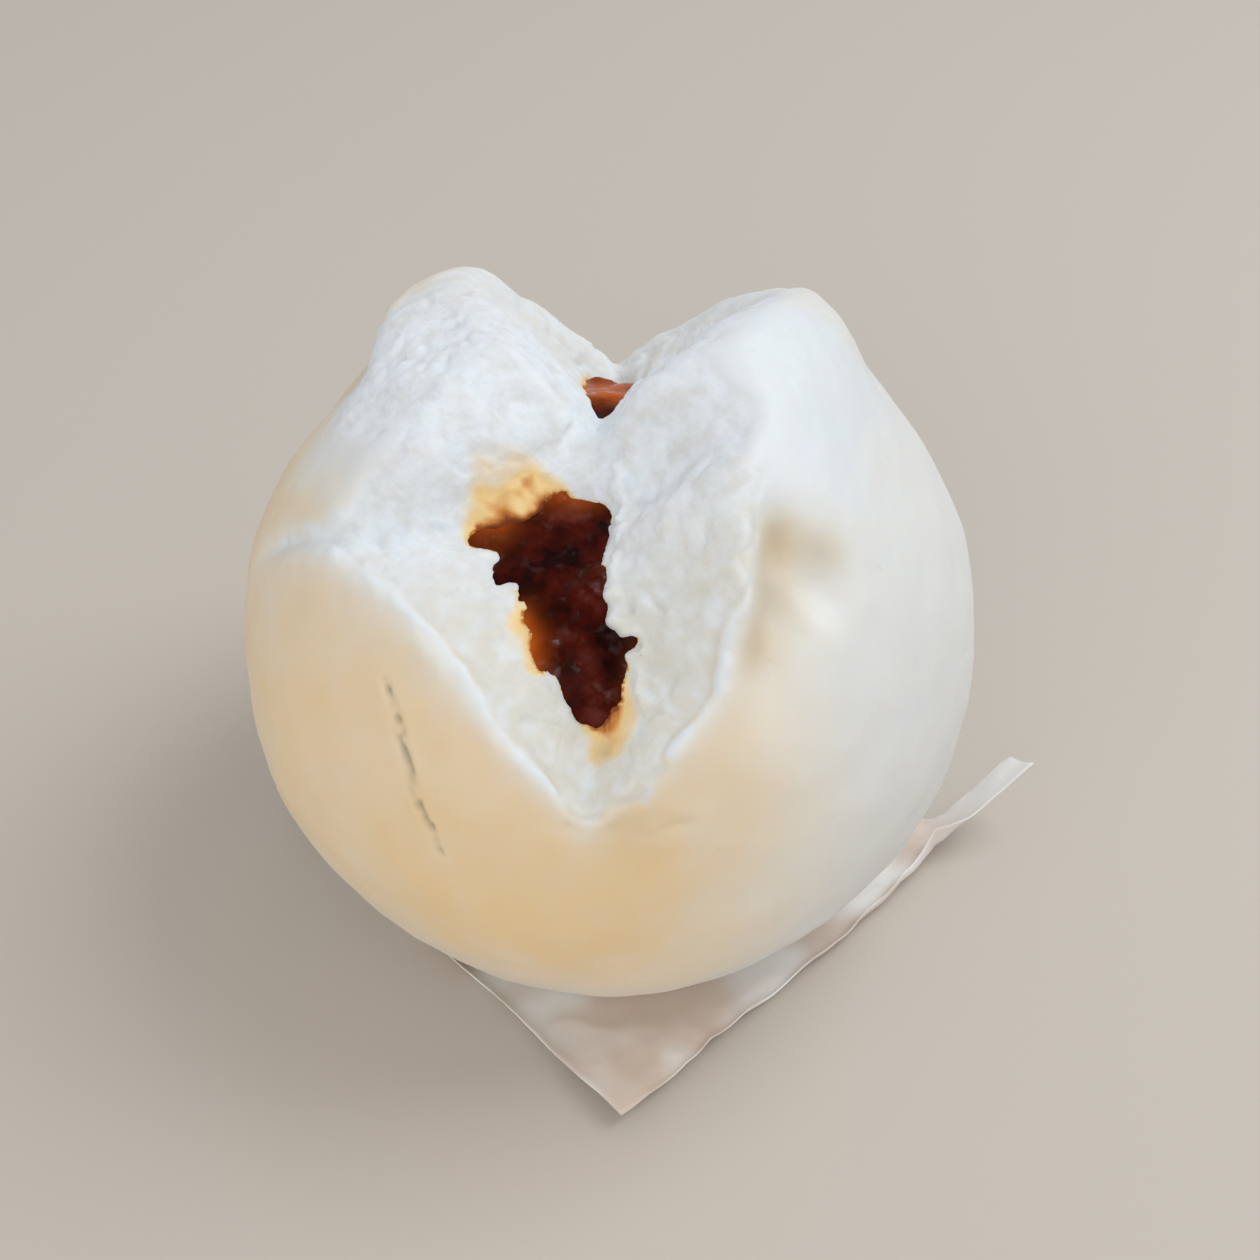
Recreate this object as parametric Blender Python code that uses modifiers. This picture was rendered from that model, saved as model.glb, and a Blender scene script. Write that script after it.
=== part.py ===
"""Char siu bao: a steamed bun that has burst open over its roast pork filling, on its piece of paper.

The bun is a ball of dough, flattened where it stands. Steam has torn its top into three petals: a tall
one at the back left, a tall one on the right, and a low flap at the front left. The filling shows in a
long mouth between them and in a small gap further back. Metres, +Z up. The origin is under the bun, on
the flat underside of the paper. The front is -Y, and bearings turn from there towards +X.
"""

import math

import bmesh
import bpy
import numpy as np
from mathutils import Matrix, Vector, noise

MM = 0.001

# Driving sizes, in metres
BUN_RADIUS = 37.3 * MM
BUN_CENTRE_HEIGHT = 29.0 * MM
PAPER_WIDE = 57.0 * MM
PAPER_LONG = 64.0 * MM
PAPER_THICKNESS = 0.5 * MM
GAP = 0.3 * MM

# Every size below is in millimetres: a plan position is (x, y), seen from above.
# The ball: its points before they are thinned out, the share that stays, and its slow unevenness
BALL_DETAIL = 7
BALL_SHARE = 0.068
UNEVENNESS = 0.55
UNEVEN_LENGTH = 19.0
# What is added to the ball or taken from it fades out over the lower part of its upper half
UPPER_FADE = 3.0
# The two tall petals curl out past the ball in long rims: plan position, reach in x, to the back and to
# the front, height, how steep. Towards the front they turn softer
RIMS = ((-15.2, 8.5, 8.7, 12.3, 17.0, 3.9, 8.0), (12.8, 7.5, 9.2, 12.5, 24.0, 3.3, 4.5))
RIM_FRONT_STEEPNESS = 2.4
RIM_FRONT_TURN = 1.6
# Dents in the upper skin, as plan position, reach and depth, with ridges as negative depths: a valley in
# the front of the right petal and the ridge on its left, a dip above them, a hollow behind the split, and
# one on the left below the rim
DENTS = (
    (10.5, -16.5, 2.0, -0.9),
    (10.8, -20.5, 2.0, -1.1),
    (10.7, -24.5, 2.0, -0.9),
    (14.0, -20.6, 2.3, 2.3),
    (14.2, -24.6, 2.4, 2.4),
    (13.4, -28.2, 2.4, 1.5),
    (18.0, -21.4, 2.4, 2.0),
    (19.0, -24.0, 1.6, -0.6),
    (21.0, -9.0, 6.0, 0.6),
    (-2.0, 24.0, 11.0, 3.2),
    (-30.0, 9.0, 6.5, 1.2),
)
# The split runs from front to back: its line in plan, as (y, x), and its floor, as (y, z). The floor
# climbs along the mouth, jumps up where the petals touch, and dips again at the small gap behind
SPLIT_LINE = (
    (-36.0, -2.0),
    (-30.0, 1.2),
    (-27.0, 0.9),
    (-24.0, -1.4),
    (-20.0, -2.9),
    (-17.0, -3.4),
    (-12.5, -1.2),
    (-9.5, -1.2),
    (-7.0, -3.4),
    (4.0, -2.0),
    (20.0, -0.3),
)
SPLIT_FLOOR = (
    (-36.0, 38.0),
    (-29.0, 43.0),
    (-26.0, 46.4),
    (-18.0, 51.0),
    (-12.5, 51.8),
    (-9.0, 53.0),
    (-6.0, 59.0),
    (0.0, 55.8),
    (8.0, 50.8),
    (16.0, 46.1),
    (21.0, 47.5),
    (26.0, 44.0),
    (35.0, 32.0),
)
# A narrow notch between the mouth and the gap behind: plan position, reach across and along, depth
NOTCH = (-1.7, -2.5, 1.4, 6.0, 2.7)
# Slopes of the torn faces away from the split, as (y, slope)
RIGHT_SLOPES = ((-28.0, 0.8), (-15.0, 0.9), (0.0, 1.0), (20.0, 0.85))
LEFT_SLOPES = ((0.0, 1.3), (20.0, 0.99))
# The tall left petal also has a torn face towards the front: its foot in plan, as (x, y), and its
# slope, as (x, slope)
FACE_FOOT = ((-35.0, -2.0), (-31.0, -7.5), (-27.0, -14.0), (-18.0, -14.2), (-9.0, -14.0), (-2.0, -9.5))
FACE_FOOT_HEIGHT = 50.0
FACE_SLOPES = ((-19.0, 2.6), (-12.0, 1.3), (-6.0, 1.5), (-1.0, 2.4))
# Its third torn face, on the outer left, runs out to the rim: one point on it, and its slopes in x and y
EAR_POINT = (-23.5, -2.0, 59.9)
EAR_SLOPES = (0.4, 0.04)
# The low flap is a torn ledge: its height beside the mouth, the mouth's edge in plan as (y, x), the
# slope down into the mouth, and a crest whose height falls off to both sides of one bearing. Between two
# radii the ledge bends from its own height to the crest's
LEDGE_HEIGHT = 50.8
LEDGE_INNER_RADIUS = 14.0
LEDGE_OUTER_RADIUS = 30.0
LEDGE_BEND = 1.5
LEDGE_LIMIT = 1.2
MOUTH_EDGE = ((-31.0, 2.2), (-27.0, -0.2), (-22.5, -5.0), (-18.0, -7.6), (-9.5, -11.4))
MOUTH_SLOPE = 1.9
CREST_HEIGHT = 51.6
CREST_BEARING = -48.0
CREST_FALL_FRONT = 0.0053
CREST_FALL_LEFT = 0.0066
# Torn edges are rounded over these widths: those between torn faces, the outer left face's own, and the
# petals' rims as (y, width). The curves above are softened over the last length
TEAR_ROUNDING = 1.2
EAR_ROUNDING = 6.0
RIM_ROUNDING = ((-16.0, 1.2), (-8.0, 4.5), (16.0, 4.5), (24.0, 2.0))
SOFTENING = 2.4

# The filling: a squarish lump, wider at the top, with lumps of meat on it
FILLING_DETAIL = 4
FILLING_CENTRE = (-2.0, -3.6, 32.0)
FILLING_REACH = (16.5, 25.6, 21.5)
FILLING_SQUARENESS = 2.5
FILLING_TAPER = 0.1
LUMP_SIZE = 7.0
LUMP_HEIGHT = 1.4
LUMP_MIDDLE = 0.5
# Room left round the filling, measured from its middle, so that the gap stays GAP on slanting faces
POCKET_CLEARANCE = 0.42

# The paper: its middle in plan, its turn, and its cells between the margins and across each margin
PAPER_MIDDLE = (5.7, 1.7)
PAPER_TURN = -46.0
PAPER_CELLS = 11
MARGIN_CELLS = 4
# Its back right edge, as (across, along): it runs out to a narrow corner on the right, past a margin
BACK_EDGE = ((-26.0, 29.0), (14.0, 27.0), (24.0, 26.6), (27.6, 37.1), (31.2, 36.8))
BACK_MARGIN = 27.0
# Its front right edge, as (along, across): it flares a little towards that corner
RIGHT_EDGE = ((-27.0, 31.2), (30.0, 31.2), (37.3, 33.3))
# Its other three margins fold up round the dough. Each has a bend radius, and along its edge (place, how
# far the fold is from the origin, angle turned)
FOLD_RADIUS = 1.2
FRONT_RIGHT_FOLD = (
    (-26.0, 31.0, 15.0),
    (-14.0, 29.6, 70.0),
    (14.0, 29.2, 85.0),
    (24.0, 27.6, 105.0),
    (30.0, 29.5, 35.0),
    (38.0, 31.5, 0.0),
)
BACK_LEFT_FOLD = ((-26.0, 22.5, 40.0), (8.0, 22.0, 70.0), (38.0, 22.5, 45.0))
FRONT_LEFT_FOLD = ((-25.0, 24.6, 30.0), (-5.0, 24.6, 55.0), (15.0, 24.6, 50.0), (32.0, 25.5, 5.0))
# Its right corner peels off the ground: where it starts, the bend's radius, and the angle
PEEL = (36.5, 4.0, 33.0)
# Everywhere outside this radius it rises a little
PAPER_FLAT_RADIUS = 27.0
PAPER_SLOPE = 0.12
PAPER_BEND = 1.4


def material(name, colour, roughness):
    made = bpy.data.materials.new(name)
    made.use_nodes = True
    shader = made.node_tree.nodes["Principled BSDF"]
    shader.inputs["Base Color"].default_value = (*colour, 1.0)
    shader.inputs["Roughness"].default_value = roughness
    return made


def add_object(name, bm, collection):
    mesh = bpy.data.meshes.new(name)
    bm.to_mesh(mesh)
    bm.free()
    mesh.shade_smooth()
    made = bpy.data.objects.new(name, mesh)
    collection.objects.link(made)
    return made


def read_curve(value, points):
    """Reads a curve that is given by a few (value, result) points, with its corners softened."""
    at, result = zip(*points)
    nearby = [np.interp(value + step * SOFTENING, at, result) for step in (-1.0, -0.5, 0.0, 0.5, 1.0)]
    return np.mean(nearby, axis=0)


def lower_of(a, b, width):
    """The lower of two heights, with the edge between them rounded over `width`."""
    share = np.clip(0.5 + 0.5 * (b - a) / width, 0.0, 1.0)
    return b + (a - b) * share - width * share * (1.0 - share)


def upper_of(a, b, width):
    return -lower_of(-a, -b, width)


def right_petal(x, y):
    """Torn face of the tall right petal: it rises from the split's floor to the right."""
    rise = read_curve(y, RIGHT_SLOPES) * (x - read_curve(y, SPLIT_LINE))
    return read_curve(y, SPLIT_FLOOR) + rise


def left_petal(x, y):
    """Torn faces of the tall left petal: they rise from the split, from the front and from the rim."""
    rise = read_curve(y, LEFT_SLOPES) * (read_curve(y, SPLIT_LINE) - x)
    from_split = read_curve(y, SPLIT_FLOOR) + rise
    from_front = FACE_FOOT_HEIGHT + read_curve(x, FACE_SLOPES) * (y - read_curve(x, FACE_FOOT))
    start_x, start_y, start_z = EAR_POINT
    from_rim = start_z + EAR_SLOPES[0] * (x - start_x) + EAR_SLOPES[1] * (y - start_y)
    return lower_of(lower_of(from_split, from_front, TEAR_ROUNDING), from_rim, EAR_ROUNDING)


def low_flap(x, y):
    """Torn ledge of the low flap: a shallow dish between its crest and the mouth."""
    bearing = np.degrees(np.arctan2(x, -y))
    past = bearing - CREST_BEARING
    crest = CREST_HEIGHT - np.where(past > 0.0, CREST_FALL_FRONT, CREST_FALL_LEFT) * past**2
    outwards = (np.hypot(x, y) - LEDGE_INNER_RADIUS) / (LEDGE_OUTER_RADIUS - LEDGE_INNER_RADIUS)
    dish = LEDGE_HEIGHT + (crest - LEDGE_HEIGHT) * np.clip(outwards, 0.0, LEDGE_LIMIT) ** LEDGE_BEND
    into_mouth = LEDGE_HEIGHT + MOUTH_SLOPE * (read_curve(y, MOUTH_EDGE) - x)
    return lower_of(dish, into_mouth, TEAR_ROUNDING)


def torn_top(x, y):
    """Height of the torn top over a plan position: the highest of the three petals."""
    tall = upper_of(right_petal(x, y), left_petal(x, y), TEAR_ROUNDING)
    notch_x, notch_y, across, along, depth = NOTCH
    tall -= depth * np.exp(-(((x - notch_x) / across) ** 2) - ((y - notch_y) / along) ** 2)
    return upper_of(tall, low_flap(x, y), TEAR_ROUNDING)


def unit_sphere(detail):
    bm = bmesh.new()
    bmesh.ops.create_icosphere(bm, subdivisions=detail, radius=1.0)
    directions = np.array([v.co for v in bm.verts])
    return bm, directions


def place(bm, points_mm):
    for vertex, point in zip(bm.verts, points_mm):
        vertex.co = Vector(point) * MM


def bun_points(directions):
    """Points of the bun's surface in mm, one for each direction from its middle."""
    radius = BUN_RADIUS / MM
    uneven = [noise.noise(Vector(ray) * radius / UNEVEN_LENGTH) for ray in directions]
    reach = radius + UNEVENNESS * np.array(uneven)
    plan = directions[:, :2] * radius
    upper = np.clip(directions[:, 2] * UPPER_FADE, 0.0, 1.0)
    for x, y, across, back, front, height, steepness in RIMS:
        along = (plan[:, 1] - y) / np.where(plan[:, 1] < y, front, back)
        away = np.hypot((plan[:, 0] - x) / across, along)
        softer = np.clip(-RIM_FRONT_TURN * along, 0.0, 1.0)
        power = steepness + (RIM_FRONT_STEEPNESS - steepness) * softer
        reach += upper * height * np.exp(-(away**power))
    for x, y, width, depth in DENTS:
        away = np.hypot(plan[:, 0] - x, plan[:, 1] - y) / width
        reach -= upper * depth * np.exp(-(away**2))

    points = directions * reach[:, None]
    points[:, 2] += BUN_CENTRE_HEIGHT / MM
    tear = torn_top(points[:, 0], points[:, 1])
    points[:, 2] = lower_of(points[:, 2], tear, read_curve(points[:, 1], RIM_ROUNDING))
    foot = (PAPER_THICKNESS + GAP) / MM
    points[:, 2] = np.maximum(points[:, 2], foot)
    return points


def filling_points(directions, grow):
    """Points of the filling's surface in mm, moved outwards by `grow`."""
    power = FILLING_SQUARENESS
    size = (np.abs(directions) ** power).sum(axis=1) ** (-1.0 / power)
    shape = directions * size[:, None]
    points = shape * np.array(FILLING_REACH)
    points[:, :2] *= (1.0 + FILLING_TAPER * shape[:, 2])[:, None]
    lumps = []
    for point in points:
        nearest = noise.voronoi(Vector(point) / LUMP_SIZE)[0]
        lumps.append(LUMP_HEIGHT * (LUMP_MIDDLE - min(nearest[0], 1.0)))
    points += directions * (np.array(lumps) + grow)[:, None]
    return points + np.array(FILLING_CENTRE)


def make_filling(collection):
    bm, directions = unit_sphere(FILLING_DETAIL)
    place(bm, filling_points(directions, 0.0))
    filling = add_object("filling", bm, collection)
    filling.data.materials.append(material("roast pork in sauce", (0.10, 0.022, 0.010), 0.25))


def make_dough(collection, cutters):
    bm, directions = unit_sphere(BALL_DETAIL)
    place(bm, bun_points(directions))
    dough = add_object("dough", bm, collection)
    dough.data.materials.append(material("steamed dough", (0.78, 0.72, 0.60), 0.6))

    bm, directions = unit_sphere(FILLING_DETAIL)
    place(bm, filling_points(directions, POCKET_CLEARANCE))
    pocket = add_object("filling_pocket", bm, cutters)
    pocket.hide_render = True
    pocket.display_type = "WIRE"
    thin = dough.modifiers.new("fewer faces", "DECIMATE")
    thin.ratio = BALL_SHARE
    cut = dough.modifiers.new("room for the filling", "BOOLEAN")
    cut.operation = "DIFFERENCE"
    cut.solver = "EXACT"
    cut.object = pocket


def rolled(past, radius, turn):
    """How far out and up a strip reaches, `past` mm beyond a bend of this radius through `turn` degrees."""
    turn = np.radians(turn)
    past = np.maximum(past, 0.0)
    bent = np.minimum(past / radius, turn)
    straight = past - bent * radius
    out = radius * np.sin(bent) + straight * np.cos(turn)
    up = radius * (1.0 - np.cos(bent)) + straight * np.sin(turn)
    return out, up


def fold_margin(outwards, along, fold):
    """Folds up what lies past a margin's fold: returns the new place outwards, and the height."""
    place_along, crease, turn = zip(*fold)
    crease = np.interp(along, place_along, crease)
    out, up = rolled(outwards - crease, FOLD_RADIUS, np.interp(along, place_along, turn))
    return np.where(outwards > crease, crease + out, outwards), up


def paper_points(sheet):
    """Points of the paper's underside in mm, from places across and along the flat sheet."""
    across, along = sheet.T
    height = np.zeros(len(sheet))
    right, up = fold_margin(across, along, FRONT_RIGHT_FOLD)
    height += up
    left, up = fold_margin(-right, along, BACK_LEFT_FOLD)
    height += up
    front, up = fold_margin(-along, across, FRONT_LEFT_FOLD)
    height += up
    across, along = -left, -front
    turn = math.radians(PAPER_TURN)
    x = across * math.cos(turn) - along * math.sin(turn)
    y = across * math.sin(turn) + along * math.cos(turn)
    start, radius, angle = PEEL
    out, up = rolled(x - start, radius, angle)
    x = np.where(x > start, start + out, x)
    past = np.maximum(np.hypot(x, y) - PAPER_FLAT_RADIUS, 0.0)
    lift = PAPER_SLOPE * past**2 / (past + PAPER_BEND)
    points = np.column_stack((x, y, height + up + lift))

    # What would stand inside the dough is pressed outwards by it
    from_middle = points - (0.0, 0.0, BUN_CENTRE_HEIGHT / MM)
    distance = np.linalg.norm(from_middle, axis=1)
    clear = (BUN_RADIUS + GAP + PAPER_THICKNESS) / MM + UNEVENNESS
    pressed = (distance < clear) & (points[:, 2] > 0.0)
    points[pressed] += from_middle[pressed] * (clear / distance[pressed] - 1.0)[:, None]
    points[:, 2] = np.maximum(points[:, 2], 0.0)
    return points


def sheet_lines(middle, size, low_fold, high_fold):
    """Places of the sheet's grid lines in one direction, closer together in its margins."""
    low = middle - size / 2.0
    high = middle + size / 2.0
    inner = np.linspace(-low_fold, high_fold, PAPER_CELLS + 1)
    low_margin = np.linspace(low, -low_fold, MARGIN_CELLS + 1)[:-1]
    high_margin = np.linspace(high_fold, high, MARGIN_CELLS + 1)[1:]
    return np.concatenate((low_margin, inner, high_margin))


def make_paper(collection):
    """A sheet that lies flat under the bun, with three margins folded up, thickened upwards."""
    turn = math.radians(PAPER_TURN)
    middle_across = PAPER_MIDDLE[0] * math.cos(turn) + PAPER_MIDDLE[1] * math.sin(turn)
    middle_along = PAPER_MIDDLE[1] * math.cos(turn) - PAPER_MIDDLE[0] * math.sin(turn)
    left_fold, right_fold, front_fold = [
        min(crease for _, crease, _ in fold)
        for fold in (BACK_LEFT_FOLD, FRONT_RIGHT_FOLD, FRONT_LEFT_FOLD)
    ]
    lines_across = sheet_lines(middle_across, PAPER_WIDE / MM, left_fold, right_fold)
    lines_along = sheet_lines(middle_along, PAPER_LONG / MM, front_fold, BACK_MARGIN)
    cells = PAPER_CELLS + 2 * MARGIN_CELLS
    bm = bmesh.new()
    bmesh.ops.create_grid(bm, x_segments=cells, y_segments=cells, size=cells / 2.0)
    sheet = []
    for vertex in bm.verts:
        column = round(vertex.co.x + cells / 2.0)
        row = round(vertex.co.y + cells / 2.0)
        across = lines_across[column]
        along = lines_along[row]
        back = np.interp(across, *zip(*BACK_EDGE)) / lines_along[-1]
        right = np.interp(along, *zip(*RIGHT_EDGE)) / lines_across[-1]
        sheet.append((across * (right if across > 0.0 else 1.0), along * (back if along > 0.0 else 1.0)))
    place(bm, paper_points(np.array(sheet)))
    paper = add_object("paper", bm, collection)
    paper.data.materials.append(material("baking paper", (0.80, 0.76, 0.68), 0.55))
    thick = paper.modifiers.new("thickness", "SOLIDIFY")
    thick.thickness = PAPER_THICKNESS
    thick.offset = 1.0


def build():
    for old in list(bpy.data.objects):
        bpy.data.objects.remove(old, do_unlink=True)
    parts = bpy.data.collections.new("char siu bao")
    cutters = bpy.data.collections.new("cutters")
    for collection in (parts, cutters):
        bpy.context.scene.collection.children.link(collection)
    make_paper(parts)
    make_filling(parts)
    make_dough(parts, cutters)


build()
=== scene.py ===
"""Char siu bao: a steamed bun that has burst open over its roast pork filling, on its piece of paper.

Shapes are worked out in millimetres and scaled to metres as they become meshes. +Z is up, the front is
-Y, and bearings turn from there towards +X. The origin is under the bun, on the underside of the paper.
"""

import math

import bmesh
import bpy
import numpy as np
from mathutils import Matrix, Vector, kdtree, noise


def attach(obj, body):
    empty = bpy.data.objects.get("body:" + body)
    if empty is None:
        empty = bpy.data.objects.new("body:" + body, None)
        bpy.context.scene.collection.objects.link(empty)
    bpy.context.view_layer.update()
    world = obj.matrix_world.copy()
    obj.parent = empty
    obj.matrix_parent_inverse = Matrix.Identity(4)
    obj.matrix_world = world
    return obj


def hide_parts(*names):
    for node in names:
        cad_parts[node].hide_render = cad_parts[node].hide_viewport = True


MM = 0.001

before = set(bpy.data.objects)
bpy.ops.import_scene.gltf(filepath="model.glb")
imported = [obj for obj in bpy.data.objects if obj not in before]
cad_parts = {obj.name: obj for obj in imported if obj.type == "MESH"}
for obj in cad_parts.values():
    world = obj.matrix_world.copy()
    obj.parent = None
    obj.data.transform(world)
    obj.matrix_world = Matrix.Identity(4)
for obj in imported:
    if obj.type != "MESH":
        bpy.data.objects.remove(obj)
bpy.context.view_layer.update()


# ---- The paper ---------------------------------------------------------------------------------------
# A piece of thin baking paper, cut by machine, that the bun was steamed on. It is damp and flat under the
# bun, its margins have folded up round the dough, and its right corner has peeled off the ground.

PAPER_WIDE = 57.0
PAPER_LONG = 64.0
PAPER_THICKNESS = 0.16
PAPER_CELL = 0.5
PAPER_MIDDLE = (5.7, 1.7)
PAPER_TURN = -46.0
PAPER_REST_HEIGHT = 0.2
# The back right edge, as (across, along): it runs out to a narrow corner on the right
BACK_EDGE = ((-26.0, 29.0), (14.0, 27.0), (24.0, 26.6), (27.6, 37.1), (31.2, 36.8))
# The front right edge, as (along, across): it flares a little towards that corner
RIGHT_EDGE = ((-27.0, 31.2), (30.0, 31.2), (37.3, 33.3))
# Along each folded margin: (place, how far the fold is from the origin, angle turned)
FOLD_RADIUS = 1.0
FRONT_RIGHT_FOLD = (
    (-26.0, 31.0, 15.0),
    (-14.0, 29.6, 70.0),
    (14.0, 29.2, 85.0),
    (24.0, 27.6, 105.0),
    (30.0, 29.5, 35.0),
    (38.0, 31.5, 0.0),
)
BACK_LEFT_FOLD = ((-26.0, 22.5, 40.0), (8.0, 22.0, 70.0), (38.0, 22.5, 45.0))
FRONT_LEFT_FOLD = ((-25.0, 24.6, 30.0), (-5.0, 24.6, 55.0), (15.0, 24.6, 50.0), (32.0, 25.5, 5.0))
PEEL = (36.5, 4.0, 33.0)
PAPER_FLAT_RADIUS = 27.0
PAPER_SLOPE = 0.12
PAPER_BEND = 1.4
# The paper is pressed clear of the ball of dough that stands on it
BALL_CENTRE = np.array((0.0, 0.0, 29.0))
DOUGH_CLEARANCE = 38.1
# From under the bun outwards it is free to cockle, in soft waves with sharper creases
PAPER_FREE = (25.5, 31.0)
WAVE_LENGTH = 9.0
WAVE_HEIGHT = 0.45
WAVE_MIDDLE = 0.5
CREASE_LENGTH = 5.0
CREASE_HEIGHT = 0.22
CREASE_SHARPNESS = 4.0
COCKLE_LOWEST = -0.1
FOLD_WANDER = 0.7
FOLD_WANDER_LENGTH = 8.0
# Damp blotches, as (length, middle, contrast, lowest, highest); the peeled corner dries between these x
DAMP_BLOTCHES = (9.0, 0.62, 1.3, 0.0, 1.0)
DRY_CORNER = (43.0, 34.0)
PAPER_COLOUR = (0.92, 0.90, 0.87)
PAPER_DAMP_COLOUR = (0.74, 0.62, 0.53)
PAPER_ROUGHNESS = 0.5
PAPER_SHEEN = 0.1
FIBRE_LENGTH = 0.5
FIBRE_HEIGHT = 0.1
FIBRE_STRENGTH = 0.25
# How quickly finer noise gets fainter
NOISE_FADE = 0.6


def smooth_step(low, high, value):
    """Rises from 0 at `low` to 1 at `high`, which may also be the lower of the two."""
    share = np.clip((value - low) / (high - low), 0.0, 1.0)
    return share * share * (3.0 - 2.0 * share)


def read_noise(points, length, octaves=1, shift=0.0):
    """Soft noise at each point, from about -1 to 1, whose lumps are about `length` apart.

    More octaves add finer lumps, and another shift gives lumps in other places.
    """
    points = points + shift
    if octaves == 1:
        return np.array([noise.noise(Vector((*point, 0.0)[:3]) / length) for point in points])
    values = [noise.fractal(Vector(point) / length, NOISE_FADE, 2.0, octaves) for point in points]
    return np.array(values)


def patches(points, length, middle, contrast, lowest, highest, shift=0.0):
    """Noise of this contrast round a middle value, kept between two limits."""
    return np.clip(middle + contrast * read_noise(points, length, 2, shift), lowest, highest)


def mesh_points(mesh):
    """The mesh's points in mm."""
    points = np.empty(len(mesh.vertices) * 3)
    mesh.vertices.foreach_get("co", points)
    return points.reshape(-1, 3) / MM


def move_points(mesh, points):
    """Puts the mesh's points at these places in mm."""
    mesh.vertices.foreach_set("co", (points * MM).ravel())
    mesh.update()


def add_piece(name, bm):
    """Adds the finished shape to the scene as one smooth piece."""
    mesh = bpy.data.meshes.new(name)
    bm.to_mesh(mesh)
    bm.free()
    mesh.shade_smooth()
    piece = bpy.data.objects.new(name, mesh)
    bpy.context.scene.collection.objects.link(piece)
    return piece


def settle(piece):
    """Applies the piece's modifiers to its mesh."""
    graph = bpy.context.evaluated_depsgraph_get()
    settled = bpy.data.meshes.new_from_object(piece.evaluated_get(graph))
    piece.modifiers.clear()
    piece.data = settled
    settled.shade_smooth()


def rolled(past, radius, turn):
    """How far out and up a strip reaches, `past` mm beyond a bend of this radius through `turn` degrees."""
    turn = np.radians(turn)
    past = np.maximum(past, 0.0)
    bent = np.minimum(past / radius, turn)
    straight = past - bent * radius
    out = radius * np.sin(bent) + straight * np.cos(turn)
    up = radius * (1.0 - np.cos(bent)) + straight * np.sin(turn)
    return out, up


def fold_margin(outwards, along, fold):
    """Folds up what lies past a margin's fold: returns the new place outwards, and the height."""
    place_along, crease, turn = zip(*fold)
    edge = np.column_stack((along, 0.0 * along + crease[0]))
    wander = FOLD_WANDER * read_noise(edge, FOLD_WANDER_LENGTH)
    crease = np.interp(along, place_along, crease) + wander
    out, up = rolled(outwards - crease, FOLD_RADIUS, np.interp(along, place_along, turn))
    return np.where(outwards > crease, crease + out, outwards), up


def paper_points(sheet):
    """Points of the paper in mm, from places across and along the flat sheet."""
    across, along = sheet.T
    height = np.zeros(len(sheet))
    right, up = fold_margin(across, along, FRONT_RIGHT_FOLD)
    height += up
    left, up = fold_margin(-right, along, BACK_LEFT_FOLD)
    height += up
    front, up = fold_margin(-along, across, FRONT_LEFT_FOLD)
    height += up
    across, along = -left, -front
    turn = math.radians(PAPER_TURN)
    x = across * math.cos(turn) - along * math.sin(turn)
    y = across * math.sin(turn) + along * math.cos(turn)
    start, radius, angle = PEEL
    out, up = rolled(x - start, radius, angle)
    x = np.where(x > start, start + out, x)
    radius = np.hypot(x, y)
    past = np.maximum(radius - PAPER_FLAT_RADIUS, 0.0)
    lift = PAPER_SLOPE * past**2 / (past + PAPER_BEND)
    points = np.column_stack((x, y, height + up + lift))

    free = smooth_step(*PAPER_FREE, radius)
    wave = WAVE_HEIGHT * (WAVE_MIDDLE + read_noise(points, WAVE_LENGTH))
    ridges = np.abs(read_noise(points, CREASE_LENGTH, shift=50.0))
    crease = CREASE_HEIGHT * (1.0 - CREASE_SHARPNESS * ridges)
    points[:, 2] += free * np.maximum(wave + crease, COCKLE_LOWEST)
    push_clear(points, BALL_CENTRE, DOUGH_CLEARANCE)
    points[:, 2] = np.maximum(points[:, 2], 0.0) + PAPER_REST_HEIGHT
    return points


def push_clear(points, middle, clear):
    """Presses what would stand inside a ball of radius `clear` out to its surface."""
    from_middle = points - middle
    distance = np.linalg.norm(from_middle, axis=1)
    pressed = (distance < clear) & (points[:, 2] > 0.0)
    points[pressed] += from_middle[pressed] * (clear / distance[pressed] - 1.0)[:, None]


def make_paper():
    """A flat sheet with trimmed edges, folded and bent into place, and thickened."""
    bm = bmesh.new()
    cells_wide = round(PAPER_WIDE / PAPER_CELL)
    cells_long = round(PAPER_LONG / PAPER_CELL)
    bmesh.ops.create_grid(bm, x_segments=cells_wide, y_segments=cells_long, size=0.5)
    turn = math.radians(PAPER_TURN)
    across = PAPER_MIDDLE[0] * math.cos(turn) + PAPER_MIDDLE[1] * math.sin(turn)
    along = PAPER_MIDDLE[1] * math.cos(turn) - PAPER_MIDDLE[0] * math.sin(turn)
    sheet = np.array([(v.co.x * PAPER_WIDE + across, v.co.y * PAPER_LONG + along) for v in bm.verts])
    back = np.interp(sheet[:, 0], *zip(*BACK_EDGE)) / (PAPER_LONG / 2.0 + along)
    right = np.interp(sheet[:, 1], *zip(*RIGHT_EDGE)) / (PAPER_WIDE / 2.0 + across)
    sheet *= np.where(sheet > 0.0, np.column_stack((right, back)), 1.0)
    for vertex, point in zip(bm.verts, paper_points(sheet)):
        vertex.co = Vector(point) * MM
    paper = add_piece("baking_paper", bm)
    thick = paper.modifiers.new("thickness", "SOLIDIFY")
    thick.thickness = PAPER_THICKNESS * MM
    thick.offset = 0.0
    settle(paper)
    return paper


def write_mask(mesh, name, values):
    """Stores a value at each point, which the materials read by its name."""
    mask = mesh.attributes.new(name, "FLOAT", "POINT")
    mask.data.foreach_set("value", np.asarray(values, dtype=np.float32))


def paper_damp(points):
    """How damp the paper is, from 0 to 1: in blotches, and hardly at all on the peeled corner."""
    return patches(points, *DAMP_BLOTCHES, shift=20.0) * smooth_step(*DRY_CORNER, points[:, 0])


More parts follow.
